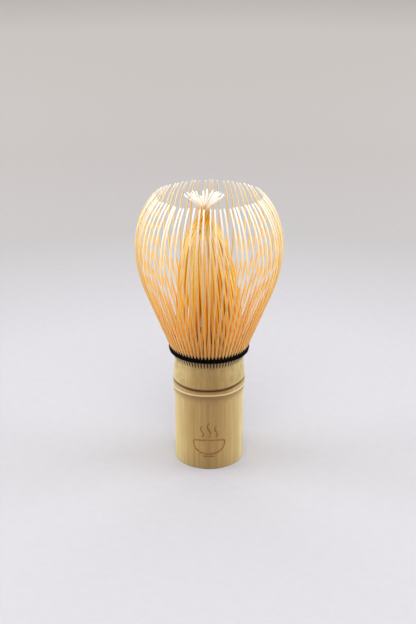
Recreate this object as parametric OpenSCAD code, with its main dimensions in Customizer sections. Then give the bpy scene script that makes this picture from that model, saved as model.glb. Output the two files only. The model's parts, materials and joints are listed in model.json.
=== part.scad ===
// Bamboo tea whisk: a bamboo culm whose upper end is split into an outer cage
// and an inner bundle of springy tines, bound apart by a cotton thread.
// Millimetres, +Z up, origin at the centre of the handle's foot.
// Each tine is drawn in its own radial plane as an outline [radius, height].

/* [Overall] */
// Height from the foot to the rim of the outer tines
whisk_h = 110; // [100:1:132]
// Greatest diameter over the outer tines
bulb_d = 56.8; // [48:0.2:68]
// Height of the slit bottoms, where handle ends and tines begin
collar_z = 43.8; // [42:0.2:48]

/* [Handle] */
// Outer diameter of the grip
handle_d = 27.4; // [22.8:0.1:33]
// Wall of the culm at the foot
culm_wall = 3.6; // [2.5:0.1:4.4]
// Height of the middle of the node ridge
node_z = 32.6; // [30:0.2:34]
// How far the node ridge stands out from the grip
node_rise = 0.75; // [0.3:0.05:1.2]
// Height of the swelling below the ridge
node_swell_h = 5.2; // [3:0.1:8]
// Height from the middle of the ridge to the scar groove
scar_up = 2.6; // [2:0.1:3.5]
// Depth of the scar groove
scar_depth = 0.35; // [0.1:0.05:0.5]
// Thickness of the wall that closes the culm inside the node
septum_t = 2.4; // [1.5:0.1:4]
// Chamfer on the foot's rims
foot_chamfer = 0.4; // [0.2:0.1:1]

/* [Roots of the tines] */
// Height of the roots, from the slit bottoms to their tops
root_h = 5.1; // [4.6:0.1:7]
// How far the outer roots lean out over that height
root_flare = 1.85; // [1.2:0.05:2.4]
// Thickness of the outer roots
outer_root_t = 0.6; // [0.45:0.05:0.7]
// Thickness of the inner roots
inner_root_t = 0.6; // [0.45:0.05:0.8]
// Width of the groove between the two rings of roots, at its floor
groove_w = 0.2; // [0.15:0.05:0.25]
// Depth of that groove's floor below the slit bottoms
groove_deep = 0.2; // [0.1:0.05:0.4]
// Gap between the top of a root and the foot of its tine
flex_gap = 0.2; // [0.15:0.05:0.3]

/* [Outer tines] */
// Width of an outer tine at its foot
outer_w = 0.75; // [0.5:0.05:0.9]
// Width of an outer tine at its tip
outer_tip_w = 0.5; // [0.3:0.05:0.6]
// Thickness of an outer tine at its foot
outer_t = 0.5; // [0.35:0.05:0.6]
// Thickness of an outer tine at its tip
outer_tip_t = 0.3; // [0.2:0.05:0.4]
// Radius of the long curve up to the belly
belly_curve_r = 49; // [30:1:60]
// Radius of the curve from the belly to the rim
crown_curve_r = 29; // [24:1:40]
// Height from the belly to the rim
crown_h = 19.8; // [15:0.2:23]

/* [Inner tines] */
// Width of an inner tine at its foot
inner_w = 0.6; // [0.4:0.02:0.72]
// Width of an inner tine from the waist to its tip
inner_tip_w = 0.32; // [0.2:0.02:0.34]
// Thickness of an inner tine at its foot
inner_t = 0.5; // [0.3:0.05:0.6]
// Thickness of an inner tine from the waist to its tip
inner_tip_t = 0.24; // [0.15:0.01:0.26]
// Height of the straight part of an inner tine above its foot
inner_rise = 6; // [3:0.5:10]
// Radius of the bundle at the waist, where it turns in to the neck
waist_r = 9; // [7:0.1:10]
// Height from the waist to the rim
waist_down = 21.5; // [19:0.1:24]
// Height from the neck to the rim
neck_down = 8.2; // [7:0.1:10]
// Radius of the outermost layer at the neck
neck_r = 2.85; // [2.8:0.05:3.4]
// Distance between two layers at the neck
layer_gap = 0.56; // [0.54:0.01:0.7]
// Radius of the tuft's tips
tuft_r = 7.5; // [6:0.1:9]

/* [Thread] */
// Height of one turn of thread
thread_h = 0.76; // [0.6:0.02:0.8]
// Thickness of one turn of thread
thread_t = 0.5; // [0.4:0.05:0.6]
// Clearance between the thread and what it lies on
thread_fit = 0.04; // [0.03:0.01:0.08]
// Height of the first turn above the slit bottoms
thread_up = 3.2; // [3:0.1:3.6]
// Clearance of a loop of thread to each side of its slit
loop_fit = 0.07; // [0.05:0.01:0.1]
// Diameter of the knot
knot_d = 0.9; // [0.7:0.1:1.1]

/* [Hidden] */
// Tines in a ring, tines in one outer group, and tines in one inner group
TINES = 72;
OUTER_SET = 3;
INNER_SET = 6;
PITCH = 360 / TINES;
OUTER_GROUPS = TINES / OUTER_SET;
INNER_GROUPS = TINES / INNER_SET;
// Layer of each inner tine in a group, 0 outside to 3 in the middle
LAYERS = [0, 1, 2, 0, 1, 3];
// Lean of a layer's tips, and how far they stay below the rim
TUFT_LEAN = [48, 38, 28, 18];
TUFT_DROP = [1.6, 1, 0.5, 0.2];
// Share of the tuft's radius that a layer's tips reach
TUFT_SHARE = [1, 0.78, 0.55, 0.34];
// How far the bundle's curves keep their first and their last heading, as shares
// of their height: from the waist in to the neck, and from the neck to the tips
GATHER_PULL = [0.47, 0.2];
FLARE_PULL = [0.3, 0.5];
// Share of the ridge's rise that is left at the edge of the scar groove
SCAR_EDGE = 0.8;
// Points along each curve
CURVE_N = 6;
CROWN_N = 10;
BEND_N = 8;
SWELL_N = 6;
// Sides of a round section of thread
THREAD_FN = 24;
// What a cutter reaches past the body it cuts
PAST = 1;
$fn = 96;

handle_r = handle_d / 2;
bore_r = handle_r - culm_wall;
root_z = collar_z + root_h;
foot_z = root_z + flex_gap;
foot_r = handle_r + root_flare;
groove_r = handle_r - outer_root_t;
root_slope = root_flare / root_h;
root_lean = atan(root_slope);

// Lean of the straight stretch that meets the belly's curve smoothly
belly_z = whisk_h - crown_h;
reach = bulb_d / 2 - foot_r;
climb = belly_z - root_z;
lean_root = climb * climb - (2 * belly_curve_r - reach) * reach;
lean = 2 * atan((climb - sqrt(lean_root)) / (2 * belly_curve_r - reach));
rim_lean = asin(crown_h / crown_curve_r);

// The inner bundle: straight, then a long arc to the waist
bend_z = foot_z + inner_rise;
waist_z = whisk_h - waist_down;
neck_z = whisk_h - neck_down;
waist_rise = waist_z - bend_z;
waist_in = groove_r - waist_r;
inner_curve_r = (waist_rise * waist_rise + waist_in * waist_in) / (2 * waist_in);
waist_lean = asin(waist_rise / inner_curve_r);

thread_z1 = collar_z + thread_up + thread_h / 2;
thread_z2 = thread_z1 + thread_h + thread_fit;
thread_top = thread_z2 + thread_h / 2;
weave_r = groove_r + thread_fit + thread_t;

function two(i) = i < 10 ? str("0", i) : str(i);
function outer_name(i) = str("outer_tines_", two(i));
function inner_name(i) = str("inner_tines_", two(i));

// A station on a tine's outer face is [radius, height, heading], where the
// heading is in degrees from +Z towards the outside.
function on_arc(c, r, a) = [c.x + r * cos(a), c.y - r * sin(a), a];
function arc(c, r, a0, a1, n, first = 0) = [for (i = [first : n]) on_arc(c, r, a0 + (a1 - a0) * i / n)];
function ahead(s, d) = [s.x + d * sin(s[2]), s.y + d * cos(s[2]), s[2]];
function mix(a, b, t) = a + (b - a) * t;

// Cubic curve from station a to station b, with the reach of its two handles
function curve_xy(p, t) = pow(1 - t, 3) * p[0] + 3 * pow(1 - t, 2) * t * p[1]
    + 3 * (1 - t) * t * t * p[2] + pow(t, 3) * p[3];
function curve_dir(p, t) = pow(1 - t, 2) * (p[1] - p[0]) + 2 * (1 - t) * t * (p[2] - p[1])
    + t * t * (p[3] - p[2]);
function curve(a, b, da, db, n) =
    let (a1 = ahead(a, da), b1 = ahead(b, -db), p = [for (q = [a, a1, b1, b]) [q.x, q.y]])
    [for (i = [1 : n]) let (q = curve_xy(p, i / n), d = curve_dir(p, i / n)) [q.x, q.y, atan2(d.x, d.y)]];

// The closed outline between a row of stations and the inner face, with the
// thickness running from t0 at height z0 to t1 at height z1
function thick(z, z0, z1, t0, t1) = mix(t0, t1, min(1, max(0, (z - z0) / (z1 - z0))));
function inside(s, t) = [s.x - t * cos(s[2]), s.y + t * sin(s[2])];
function outline(s, z0, z1, t0, t1) = concat(
    [for (p = s) [p.x, p.y]],
    [for (i = [len(s) - 1 : -1 : 0]) inside(s[i], thick(s[i].y, z0, z1, t0, t1))]
);

function outer_path() =
    let (
        c1 = [bulb_d / 2 - belly_curve_r, belly_z],
        c2 = [bulb_d / 2 - crown_curve_r, belly_z],
        rise = arc(c1, belly_curve_r, lean, 0, CURVE_N),
        crown = arc(c2, crown_curve_r, 0, -rim_lean, CROWN_N, 1)
    )
    concat([ahead([foot_r, root_z, lean], -PAST)], rise, crown, [ahead(crown[CROWN_N - 1], PAST)]);

function inner_path(layer) =
    let (
        c = [groove_r - inner_curve_r, bend_z],
        long = arc(c, inner_curve_r, 0, -waist_lean, CURVE_N),
        neck = [neck_r - layer * layer_gap, neck_z, 0],
        tip = [tuft_r * TUFT_SHARE[layer], whisk_h - TUFT_DROP[layer], TUFT_LEAN[layer]],
        gather_h = neck_z - waist_z,
        gather = curve(long[CURVE_N], neck, GATHER_PULL[0] * gather_h, GATHER_PULL[1] * gather_h, BEND_N),
        flare_h = tip.y - neck.y,
        flare = curve(neck, tip, FLARE_PULL[0] * flare_h, FLARE_PULL[1] * flare_h, BEND_N)
    )
    concat([[groove_r, foot_z, 0]], long, gather, flare);

// Stands an outline [radius, height] in the radial plane at an azimuth
module radial(azimuth, width)
    rotate([90, 0, azimuth]) translate([0, 0, -width / 2]) linear_extrude(width) children();

// A tine's width as seen along its radius, tapering from w0 at z0 to w1 at z1
module taper(azimuth, w0, w1, z0, z1, top)
    rotate([90, 0, azimuth + 90]) linear_extrude(bulb_d)
        polygon([
            [-w0 / 2, z0], [w0 / 2, z0], [w1 / 2, z1], [w1 / 2, top],
            [-w1 / 2, top], [-w1 / 2, z1]
        ]);

module outer_tine(azimuth) {
    intersection() {
        radial(azimuth, outer_w + PAST)
            polygon(outline(outer_path(), root_z, whisk_h, outer_t, outer_tip_t));
        taper(azimuth, outer_w, outer_tip_w, foot_z, whisk_h - PAST, whisk_h);
    }
}

module inner_tine(azimuth, layer) {
    intersection() {
        radial(azimuth, inner_w + PAST)
            polygon(outline(inner_path(layer), foot_z, waist_z, inner_t, inner_tip_t));
        taper(azimuth, inner_w, inner_tip_w, foot_z - PAST, waist_z, whisk_h + PAST);
    }
}

module outer_tines(group) {
    color([0.93, 0.78, 0.52])
        for (i = [0 : OUTER_SET - 1])
            outer_tine(PITCH * (OUTER_SET * (group - 1) + i - (OUTER_SET - 1) / 2));
}

module inner_tines(group) {
    color([0.87, 0.66, 0.36])
        for (i = [0 : INNER_SET - 1])
            inner_tine(PITCH * (INNER_SET * (group - 1) + i + 0.5), LAYERS[i]);
}

// The culm's outside from the foot to the collar: grip, swelling, node ridge,
// scar groove, and the shoulder that narrows to the collar
function swell(u) = (1 - cos(180 * u)) / 2;
function culm_side() =
    let (z0 = node_z - node_swell_h, z1 = node_z + scar_up, shoulder = node_rise / 2)
    concat(
        [[handle_r - foot_chamfer, 0], [handle_r, foot_chamfer], [handle_r, z0]],
        [for (i = [1 : SWELL_N]) [handle_r + node_rise * swell(i / SWELL_N), mix(z0, node_z, i / SWELL_N)]],
        [
            [handle_r + node_rise * SCAR_EDGE, z1 - scar_depth],
            [handle_r + shoulder - scar_depth / 2, z1],
            [handle_r + shoulder, z1 + scar_depth]
        ],
        [for (i = [1 : SWELL_N]) [
            handle_r + shoulder * (1 - swell(i / SWELL_N)),
            mix(z1 + scar_depth, collar_z - scar_depth, i / SWELL_N)
        ]]
    );

// The culm's section: its outside, the two rings of roots, and the hollows above
// and below the septum, which is a flat disc in the middle and thickens to the wall
module culm_section()
    polygon(concat(
        culm_side(),
        [
            [foot_r, root_z], [foot_r - outer_root_t, root_z],
            [groove_r + groove_w, collar_z - groove_deep], [groove_r, collar_z - groove_deep],
            [groove_r, root_z], [groove_r - inner_root_t, root_z],
            [groove_r - inner_root_t, collar_z - inner_root_t],
            [bore_r, collar_z - culm_wall], [bore_r, node_z + septum_t],
            [septum_t, node_z + septum_t / 2], [0, node_z + septum_t / 2],
            [0, node_z - septum_t / 2], [septum_t, node_z - septum_t / 2],
            [bore_r, node_z - septum_t],
            [bore_r, foot_chamfer], [bore_r + foot_chamfer, 0]
        ]
    ));

// Width that is left between two roots of width w standing at radius r
function slit_w(r, w) = 2 * r * sin(PITCH / 2) - w;

// Radial slits that part the roots, each between two tines of one ring
module slits(first, r0, r1, width)
    for (i = [0 : TINES - 1])
        rotate([0, 0, PITCH * (i + first)])
            translate([r0, -width / 2, collar_z]) cube([r1 - r0, width, root_h + PAST]);

module handle() {
    color([0.78, 0.68, 0.42])
        difference() {
            rotate_extrude() culm_section();
            slits(0.5, groove_r + groove_w / 2, foot_r + PAST, slit_w(handle_r, outer_w));
            slits(0, groove_r - inner_root_t - PAST, groove_r + groove_w / 2, slit_w(groove_r, inner_w));
        }
}

// One turn of thread: a flattened round section
module turn(r, z)
    rotate_extrude()
        translate([r, z]) {
            for (s = [-1, 1])
                translate([0, s * (thread_h - thread_t) / 2]) circle(d = thread_t, $fn = THREAD_FN);
            square([thread_t, thread_h - thread_t], center = true);
        }

// Radius of the leaning roots' outer face at a height, and where a turn lies
// clear of it
function root_face(z) = handle_r + (z - collar_z) * root_slope;
function turn_r(z) = root_face(z + (thread_h - thread_t) / 2) + (thread_t / 2 + thread_fit) / cos(root_lean);

module thread_lower_turn() {
    color([0.1, 0.1, 0.15]) turn(turn_r(thread_z1), thread_z1);
}

module thread_upper_turn() {
    color([0.12, 0.12, 0.18]) turn(turn_r(thread_z2), thread_z2);
}

// The turn that weaves between the outer and the inner roots
module thread_weave() {
    color([0.1, 0.1, 0.15]) turn(weave_r - thread_t / 2, thread_z2);
}

// A loop in each slit, which ties the weave to the outer turns and stands up
// between two outer tines
module thread_loops() {
    low = thread_z1 - thread_h / 2;
    over = thread_top + thread_fit;
    top = over + thread_h;
    in_r = weave_r + 2 * thread_fit;
    out_r = turn_r(thread_z1) - thread_t / 2 - thread_fit;
    lip_r = turn_r(thread_z2);
    color([0.08, 0.08, 0.12])
        for (i = [0 : TINES - 1])
            radial(PITCH * (i + 0.5), slit_w(handle_r, outer_w) - 2 * loop_fit)
                polygon([
                    [in_r, low], [out_r, low], [out_r, over], [lip_r, over],
                    [lip_r + thread_t / 4, top], [lip_r - thread_t, top], [in_r, thread_top]
                ]);
}

// The knot that ends the thread, on the weave at the back
module thread_knot() {
    color([0.1, 0.1, 0.15])
        translate([0, weave_r - thread_t / 2, thread_top + thread_fit + knot_d / 2])
            sphere(d = knot_d, $fn = THREAD_FN);
}

handle();
thread_lower_turn();
thread_upper_turn();
thread_weave();
thread_loops();
thread_knot();
for (i = [1 : OUTER_GROUPS]) outer_tines(i);
for (i = [1 : INNER_GROUPS]) inner_tines(i);
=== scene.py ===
"""A bamboo tea whisk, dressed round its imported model.

One bamboo culm makes the handle, an outer cage and an inner bundle of split
tines, and a cotton thread binds the two rings apart. Meshes are drawn in
millimetres and turned to metres when a piece is finished.
"""

import json
import logging
import math
import random
from collections.abc import Callable, Iterable
from dataclasses import dataclass
from enum import Enum
from typing import NamedTuple

import bmesh
import bpy
from mathutils import Matrix, Vector, noise
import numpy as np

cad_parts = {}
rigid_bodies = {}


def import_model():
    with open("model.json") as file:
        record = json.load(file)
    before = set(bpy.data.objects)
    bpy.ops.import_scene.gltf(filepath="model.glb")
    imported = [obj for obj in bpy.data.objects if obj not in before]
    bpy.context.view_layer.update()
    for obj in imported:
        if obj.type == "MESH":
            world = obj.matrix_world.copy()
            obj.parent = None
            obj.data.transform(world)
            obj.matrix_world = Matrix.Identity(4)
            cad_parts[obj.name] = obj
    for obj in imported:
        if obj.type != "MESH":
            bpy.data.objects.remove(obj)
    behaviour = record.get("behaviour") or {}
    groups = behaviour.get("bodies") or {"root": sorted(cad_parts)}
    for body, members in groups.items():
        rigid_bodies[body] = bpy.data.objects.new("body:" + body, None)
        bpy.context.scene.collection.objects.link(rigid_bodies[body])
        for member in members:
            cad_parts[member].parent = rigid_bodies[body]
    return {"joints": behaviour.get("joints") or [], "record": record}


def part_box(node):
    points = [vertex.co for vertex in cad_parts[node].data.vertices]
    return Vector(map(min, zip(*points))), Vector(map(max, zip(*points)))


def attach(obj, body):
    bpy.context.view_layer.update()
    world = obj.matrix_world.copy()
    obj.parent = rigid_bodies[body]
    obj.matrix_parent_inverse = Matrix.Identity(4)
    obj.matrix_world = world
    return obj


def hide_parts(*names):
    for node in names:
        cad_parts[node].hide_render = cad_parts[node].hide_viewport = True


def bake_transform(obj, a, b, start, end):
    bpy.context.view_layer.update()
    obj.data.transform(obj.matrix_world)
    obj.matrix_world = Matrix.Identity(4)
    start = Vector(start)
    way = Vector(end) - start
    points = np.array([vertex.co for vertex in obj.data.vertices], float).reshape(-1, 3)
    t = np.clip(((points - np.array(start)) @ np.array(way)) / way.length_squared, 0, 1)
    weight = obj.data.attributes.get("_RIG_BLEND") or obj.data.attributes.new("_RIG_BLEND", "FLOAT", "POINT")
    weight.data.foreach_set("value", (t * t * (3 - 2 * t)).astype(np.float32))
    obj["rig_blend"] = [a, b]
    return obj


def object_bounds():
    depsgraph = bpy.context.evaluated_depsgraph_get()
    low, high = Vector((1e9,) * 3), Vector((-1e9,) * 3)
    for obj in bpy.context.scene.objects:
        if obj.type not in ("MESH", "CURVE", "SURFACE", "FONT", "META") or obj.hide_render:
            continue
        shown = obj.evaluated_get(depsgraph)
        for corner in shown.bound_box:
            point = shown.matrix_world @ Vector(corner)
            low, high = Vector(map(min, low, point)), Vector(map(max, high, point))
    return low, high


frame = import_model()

LOG = logging.getLogger("tea_whisk")
MM = 0.001
UP = Vector((0.0, 0.0, 1.0))
Tree = bpy.types.NodeTree
Socket = bpy.types.NodeSocket
# What a shader input takes: a constant or a socket
Source = float | Socket

CAD_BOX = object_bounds()
MOUNTS = {mount["name"]: mount for mount in frame["record"]["mounts"]}
JOINTS = {joint["name"]: joint for joint in frame["joints"]}
BODIES = frame["record"]["behaviour"]["bodies"]

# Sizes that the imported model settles, in millimetres
RIM_Z = CAD_BOX[1].z / MM
BULB_R = CAD_BOX[1].x / MM
GRIP_R = MOUNTS["grip"]["dims"]["r_mm"]
BORE_R = MOUNTS["foot_hollow"]["dims"]["r_mm"]
FLEX_Z = JOINTS["outer_flex_01"]["pos_m"][2] / MM
HANDLE_BODY = JOINTS["outer_flex_01"]["parent"]

# Tines in each ring, and the angle from one to the next
TINES = 72
PITCH = 360.0 / TINES
# Where the slits end, which is where the handle turns into tines
COLLAR_Z = 43.6


def linear(hex_code: str) -> tuple[float, float, float, float]:
    """Turns an sRGB hex colour into linear light.

    Args:
        hex_code: Six hex digits, such as "C8AC74".

    Returns:
        Red, green, blue and an alpha of 1.
    """
    parts = [int(hex_code[i : i + 2], 16) / 255 for i in (0, 2, 4)]
    red, green, blue = (c / 12.92 if c <= 0.04045 else ((c + 0.055) / 1.055) ** 2.4 for c in parts)
    return red, green, blue, 1.0


def smooth(low: float, high: float, value: float) -> float:
    """Eases from 0 at low to 1 at high."""
    t = min(1.0, max(0.0, (value - low) / (high - low)))
    return t * t * (3 - 2 * t)


def mix(low: float, high: float, t: float) -> float:
    """Goes evenly from low at 0 to high at 1."""
    return low + (high - low) * t


def near_rim(depths: tuple[float, float], z: float) -> float:
    """Eases from 0 to 1 as a height passes two depths below the rim."""
    return smooth(RIM_Z - depths[0], RIM_Z - depths[1], z)


def radial(degrees: float) -> Vector:
    """The level unit vector at an azimuth, counterclockwise from +X."""
    return Vector((math.cos(math.radians(degrees)), math.sin(math.radians(degrees)), 0.0))


def polar(point: Vector) -> tuple[float, float]:
    """A point's distance from the culm's axis, and its azimuth in degrees."""
    return math.hypot(point.x, point.y), math.degrees(math.atan2(point.y, point.x))


# ---------------------------------------------------------------------------
# Finishes


def node(tree: Tree, kind: str, links: dict | None = None, **settings) -> bpy.types.Node:
    """Adds one shader node with its settings and its links.

    Args:
        tree: The material's node tree.
        kind: The node's type, such as "ShaderNodeTexNoise".
        links: Input name or index to a constant, or to the socket it reads.
        **settings: Attributes of the node. stops is a ramp's (place, hex) list.

    Returns:
        The new node.
    """
    made = tree.nodes.new(kind)
    stops = settings.pop("stops", None)
    for name, value in settings.items():
        setattr(made, name, value)
    for key, value in (links or {}).items():
        if isinstance(value, Socket):
            tree.links.new(value, made.inputs[key])
        else:
            made.inputs[key].default_value = value
    if stops:
        elements = made.color_ramp.elements
        while len(elements) < len(stops):
            elements.new(1.0)
        for element, (place, colour) in zip(elements, stops):
            element.position = place
            element.color = linear(colour)
    return made


def ramp(tree: Tree, value: Source, stops: list[tuple[float, str]]) -> Socket:
    """A colour that runs through its stops as a value goes from 0 to 1."""
    return node(tree, "ShaderNodeValToRGB", {"Fac": value}, stops=stops).outputs["Color"]


def layer_of(tree: Tree, name: str) -> Socket:
    """The value of one of the mesh's own layers."""
    return node(tree, "ShaderNodeAttribute", attribute_name=name).outputs["Fac"]


def place_on(tree: Tree) -> Socket:
    """The place on the piece, in metres."""
    return node(tree, "ShaderNodeTexCoord").outputs["Object"]


def spread(tree: Tree, value: Source, low: float, high: float, to_low: float = 0.0, to_high: float = 1.0,
           **settings) -> Socket:
    """Maps a value from low and high to two other values, and holds it beyond them.

    Args:
        tree: The material's node tree.
        value: The value, or the socket that gives it.
        low: Where the first result is reached.
        high: Where the second result is reached.
        to_low: The first result.
        to_high: The second result.
        **settings: Attributes of the node.

    Returns:
        The result's socket.
    """
    return node(tree, "ShaderNodeMapRange", {"Value": value, "From Min": low, "From Max": high,
                                             "To Min": to_low, "To Max": to_high}, **settings).outputs[0]


def maths(tree: Tree, operation: str, first: Source, second: Source = 0.0) -> Socket:
    """One step of arithmetic on two values."""
    return node(tree, "ShaderNodeMath", {0: first, 1: second}, operation=operation).outputs[0]


def gap(tree: Tree, value: Source, other: Source) -> Socket:
    """How far a value is from another, either way."""
    return maths(tree, "ABSOLUTE", maths(tree, "SUBTRACT", value, other))


def lay(tree: Tree, share: Source, base: Socket, colour: Socket | str, blend_type: str = "MIX") -> Socket:
    """Lays a colour over another by a share.

    Args:
        tree: The material's node tree.
        share: How much of the colour covers the base.
        base: The colour below.
        colour: The colour above, a socket or an sRGB hex.
        blend_type: How the two meet.

    Returns:
        The mixed colour's socket.
    """
    above = linear(colour) if isinstance(colour, str) else colour
    return node(tree, "ShaderNodeMix", {"Factor": share, "A": base, "B": above}, data_type="RGBA",
                blend_type=blend_type).outputs[2]


def speckle(tree: Tree, place: Socket, cells: float, **inputs: float) -> Socket:
    """Even noise from 0 to 1, with a number of cells to the metre."""
    return node(tree, "ShaderNodeTexNoise", {"Vector": place, "Scale": cells, **inputs}).outputs["Fac"]


def grain(tree: Tree, place: Socket, cells: tuple[float, float, float], **inputs: float) -> Socket:
    """Stretched noise from 0 to 1, with its cells along each axis to the unit of place."""
    stretched = node(tree, "ShaderNodeMapping", {"Vector": place, "Scale": cells}).outputs[0]
    return speckle(tree, stretched, 1.0, **inputs)


def ridges(tree: Tree, shader: bpy.types.Node, height: Source, strength: float, depth_mm: float) -> None:
    """Gives a shader fine relief, a fraction of a millimetre deep."""
    bump = node(tree, "ShaderNodeBump", {"Height": height, "Strength": strength, "Distance": depth_mm * MM})
    tree.links.new(bump.outputs["Normal"], shader.inputs["Normal"])


def shader_of(name: str, roughness: float, **fixed: float) -> tuple[bpy.types.Material, bpy.types.Node]:
    """Starts a material with one Principled shader.

    Args:
        name: The material's name.
        roughness: The shader's own roughness.
        **fixed: Other constants of the shader, with _ for each space.

    Returns:
        The material and its shader.
    """
    material = bpy.data.materials.new(name)
    material.use_nodes = True
    shader = material.node_tree.nodes["Principled BSDF"]
    shader.inputs["Roughness"].default_value = roughness
    for key, value in fixed.items():
        shader.inputs[key.replace("_", " ")].default_value = value
    return material, shader


class TineRing(Enum):
    """Which ring a tine stands in."""

    OUTER = "outer"
    INNER = "inner"


@dataclass(frozen=True)
class CulmSkin:
    """Dried culm skin, polished by scraping: waxy, with fine lengthwise fibres."""

    scar_z: float
    lip_z: float
    streak_mm: float = 1.1
    streak_long: float = 30.0
    mottle_mm: float = 3.0
    patch_cells: tuple[float, float, float] = (130.0, 130.0, 45.0)
    fibre_mm: float = 0.32
    fibre_long: float = 40.0
    under_lip_shade_h: float = 3.4

    def straw(self, tree: Tree, place: Socket, streak: Socket) -> Socket:
        """The skin's colour, in streaks and patches, with painted shade on the front.

        Args:
            tree: The material's node tree.
            place: The place on the culm.
            streak: The streaks' noise.

        Returns:
            The colour.
        """
        straw = ramp(tree, streak, [(0.25, "C0A868"), (0.45, "CEB979"), (0.6, "D7C486"), (0.8, "E0CF96")])
        # Broad patches, 8 mm wide and 22 mm high, where the sun dried the skin browner
        patch = grain(tree, place, self.patch_cells, Detail=2.0)
        patched = lay(tree, spread(tree, patch, 0.45, 0.75, 0.0, 0.3), straw, "B08A52")
        # The front of the culm is painted browner than the sides: painted shade where less light falls on it
        depth = node(tree, "ShaderNodeSeparateXYZ", {0: place}).outputs["Y"]
        front = spread(tree, depth, -0.3 * GRIP_R * MM, -GRIP_R * MM)
        return lay(tree, front, patched, "CFBBAC", "MULTIPLY")

    def near_node(self, tree: Tree, level: Socket, streak: Socket, colour: Socket) -> Socket:
        """Browns the skin beside the node's lip, paints shade under the lip, and paints a highlight along the
        lip.

        Args:
            tree: The material's node tree.
            level: The height before the node was tilted, in millimetres.
            streak: The streaks' noise, which breaks the painted shade up.
            colour: The skin's colour.

        Returns:
            The colour with the bevel, the painted shade under the lip and the painted highlight on the lip.
        """
        bevel = maths(tree, "MULTIPLY", spread(tree, level, self.lip_z + 0.2, self.lip_z + 0.6),
                      spread(tree, level, self.scar_z, self.scar_z + 0.5, 0.4, 0.0))
        bevelled = lay(tree, bevel, colour, "8E6434")
        # Painted shade in a band under the node's lip, broken up by the streaks
        under_lip_shade = maths(tree, "MULTIPLY",
                       spread(tree, level, self.lip_z - self.under_lip_shade_h, self.lip_z - 0.9,
                              interpolation_type="SMOOTHSTEP"),
                       spread(tree, level, self.lip_z - 0.5, self.lip_z - 0.1, 1.0, 0.0))
        streaked_under_lip_shade = maths(tree, "MULTIPLY", under_lip_shade, spread(tree, streak, 0.35, 0.6, 0.3, 0.62))
        under_lip_shaded = lay(tree, streaked_under_lip_shade, bevelled, "7C4A12")
        # A painted highlight along the node's lip
        lip = spread(tree, gap(tree, level, self.lip_z), 0.1, 0.5, 0.8, 0.0)
        return lay(tree, lip, under_lip_shaded, "E9D6A8")

    def scar(self, tree: Tree, level: Socket, depth: Socket) -> Socket:
        """How much painted shade darkens the sheath scar's groove: most at the front, half at the back."""
        groove = spread(tree, gap(tree, level, self.scar_z), 0.25, 0.95, 0.95, 0.0)
        front_shade_share = spread(tree, depth, 0.0, -0.8 * GRIP_R * MM, 0.5, 1.0)
        return maths(tree, "MULTIPLY", groove, front_shade_share)

    def make(self) -> bpy.types.Material:
        """Builds the material.

        Returns:
            A straw-coloured skin with streaks, painted shade in the scar and under the lip, and a painted
            highlight on the lip.
        """
        material, shader = shader_of("dried_culm_skin", 0.42, Specular_IOR_Level=0.45)
        tree = material.node_tree
        place = place_on(tree)
        depth = node(tree, "ShaderNodeSeparateXYZ", {0: place}).outputs["Y"]
        level = layer_of(tree, "level")
        # Streaks are a millimetre wide and run thirty times as far up the culm
        wide = 1 / (self.streak_mm * MM)
        streak = grain(tree, place, (wide, wide, wide / self.streak_long), Detail=3.0, Roughness=0.6)
        # Above the node the skin has kept some of its green, in mottles
        mottle = speckle(tree, place, 1 / (self.mottle_mm * MM), Detail=3.0)
        green = maths(tree, "MULTIPLY", spread(tree, level, self.scar_z, self.scar_z + 2.5),
                      spread(tree, mottle, 0.4, 0.66, 0.08, 0.62))
        greened = lay(tree, green, self.straw(tree, place, streak), "95804A")
        lipped = self.near_node(tree, level, streak, greened)
        # Painted shade in the sheath scar's groove
        groove_shaded = lay(tree, self.scar(tree, level, depth), lipped, "54300C")
        tree.links.new(groove_shaded, shader.inputs["Base Color"])
        # Fibres are a third of a millimetre apart, near the finest that can show
        fine = 1 / (self.fibre_mm * MM)
        ridges(tree, shader, grain(tree, place, (fine, fine, fine / self.fibre_long), Detail=2.0), 0.25, 0.04)
        return material


@dataclass(frozen=True)
class CutCulm:
    """Sawn and scraped culm flesh: matt and pale, dotted with fibre bundles."""

    bundle_mm: float = 0.55
    bundle_long: float = 25.0

    def make(self) -> bpy.types.Material:
        """Builds the material.

        Returns:
            Cream flesh with brown dots a bundle apart.
        """
        material, shader = shader_of("sawn_culm_flesh", 0.7)
        tree = material.node_tree
        across = 1 / (self.bundle_mm * MM)
        # Bundles run up the culm, so their cells are long upwards
        cells_at = node(tree, "ShaderNodeMapping", {"Vector": place_on(tree),
                                                    "Scale": (across, across, across / self.bundle_long)})
        cells = node(tree, "ShaderNodeTexVoronoi", {"Vector": cells_at.outputs[0], "Scale": 1.0})
        far = cells.outputs["Distance"]
        flesh = ramp(tree, far, [(0.1, "8C6634"), (0.3, "C39D62"), (0.6, "DCC18C")])
        # Between the roots the flesh is painted dark: painted shade in the slits
        slit_shade = spread(tree, layer_of(tree, "level"), COLLAR_Z - 1.0, COLLAR_Z, 0.0, 0.9)
        tree.links.new(lay(tree, slit_shade, flesh, "5E3A16"), shader.inputs["Base Color"])
        ridges(tree, shader, far, 0.3, 0.05)
        return material


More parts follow.
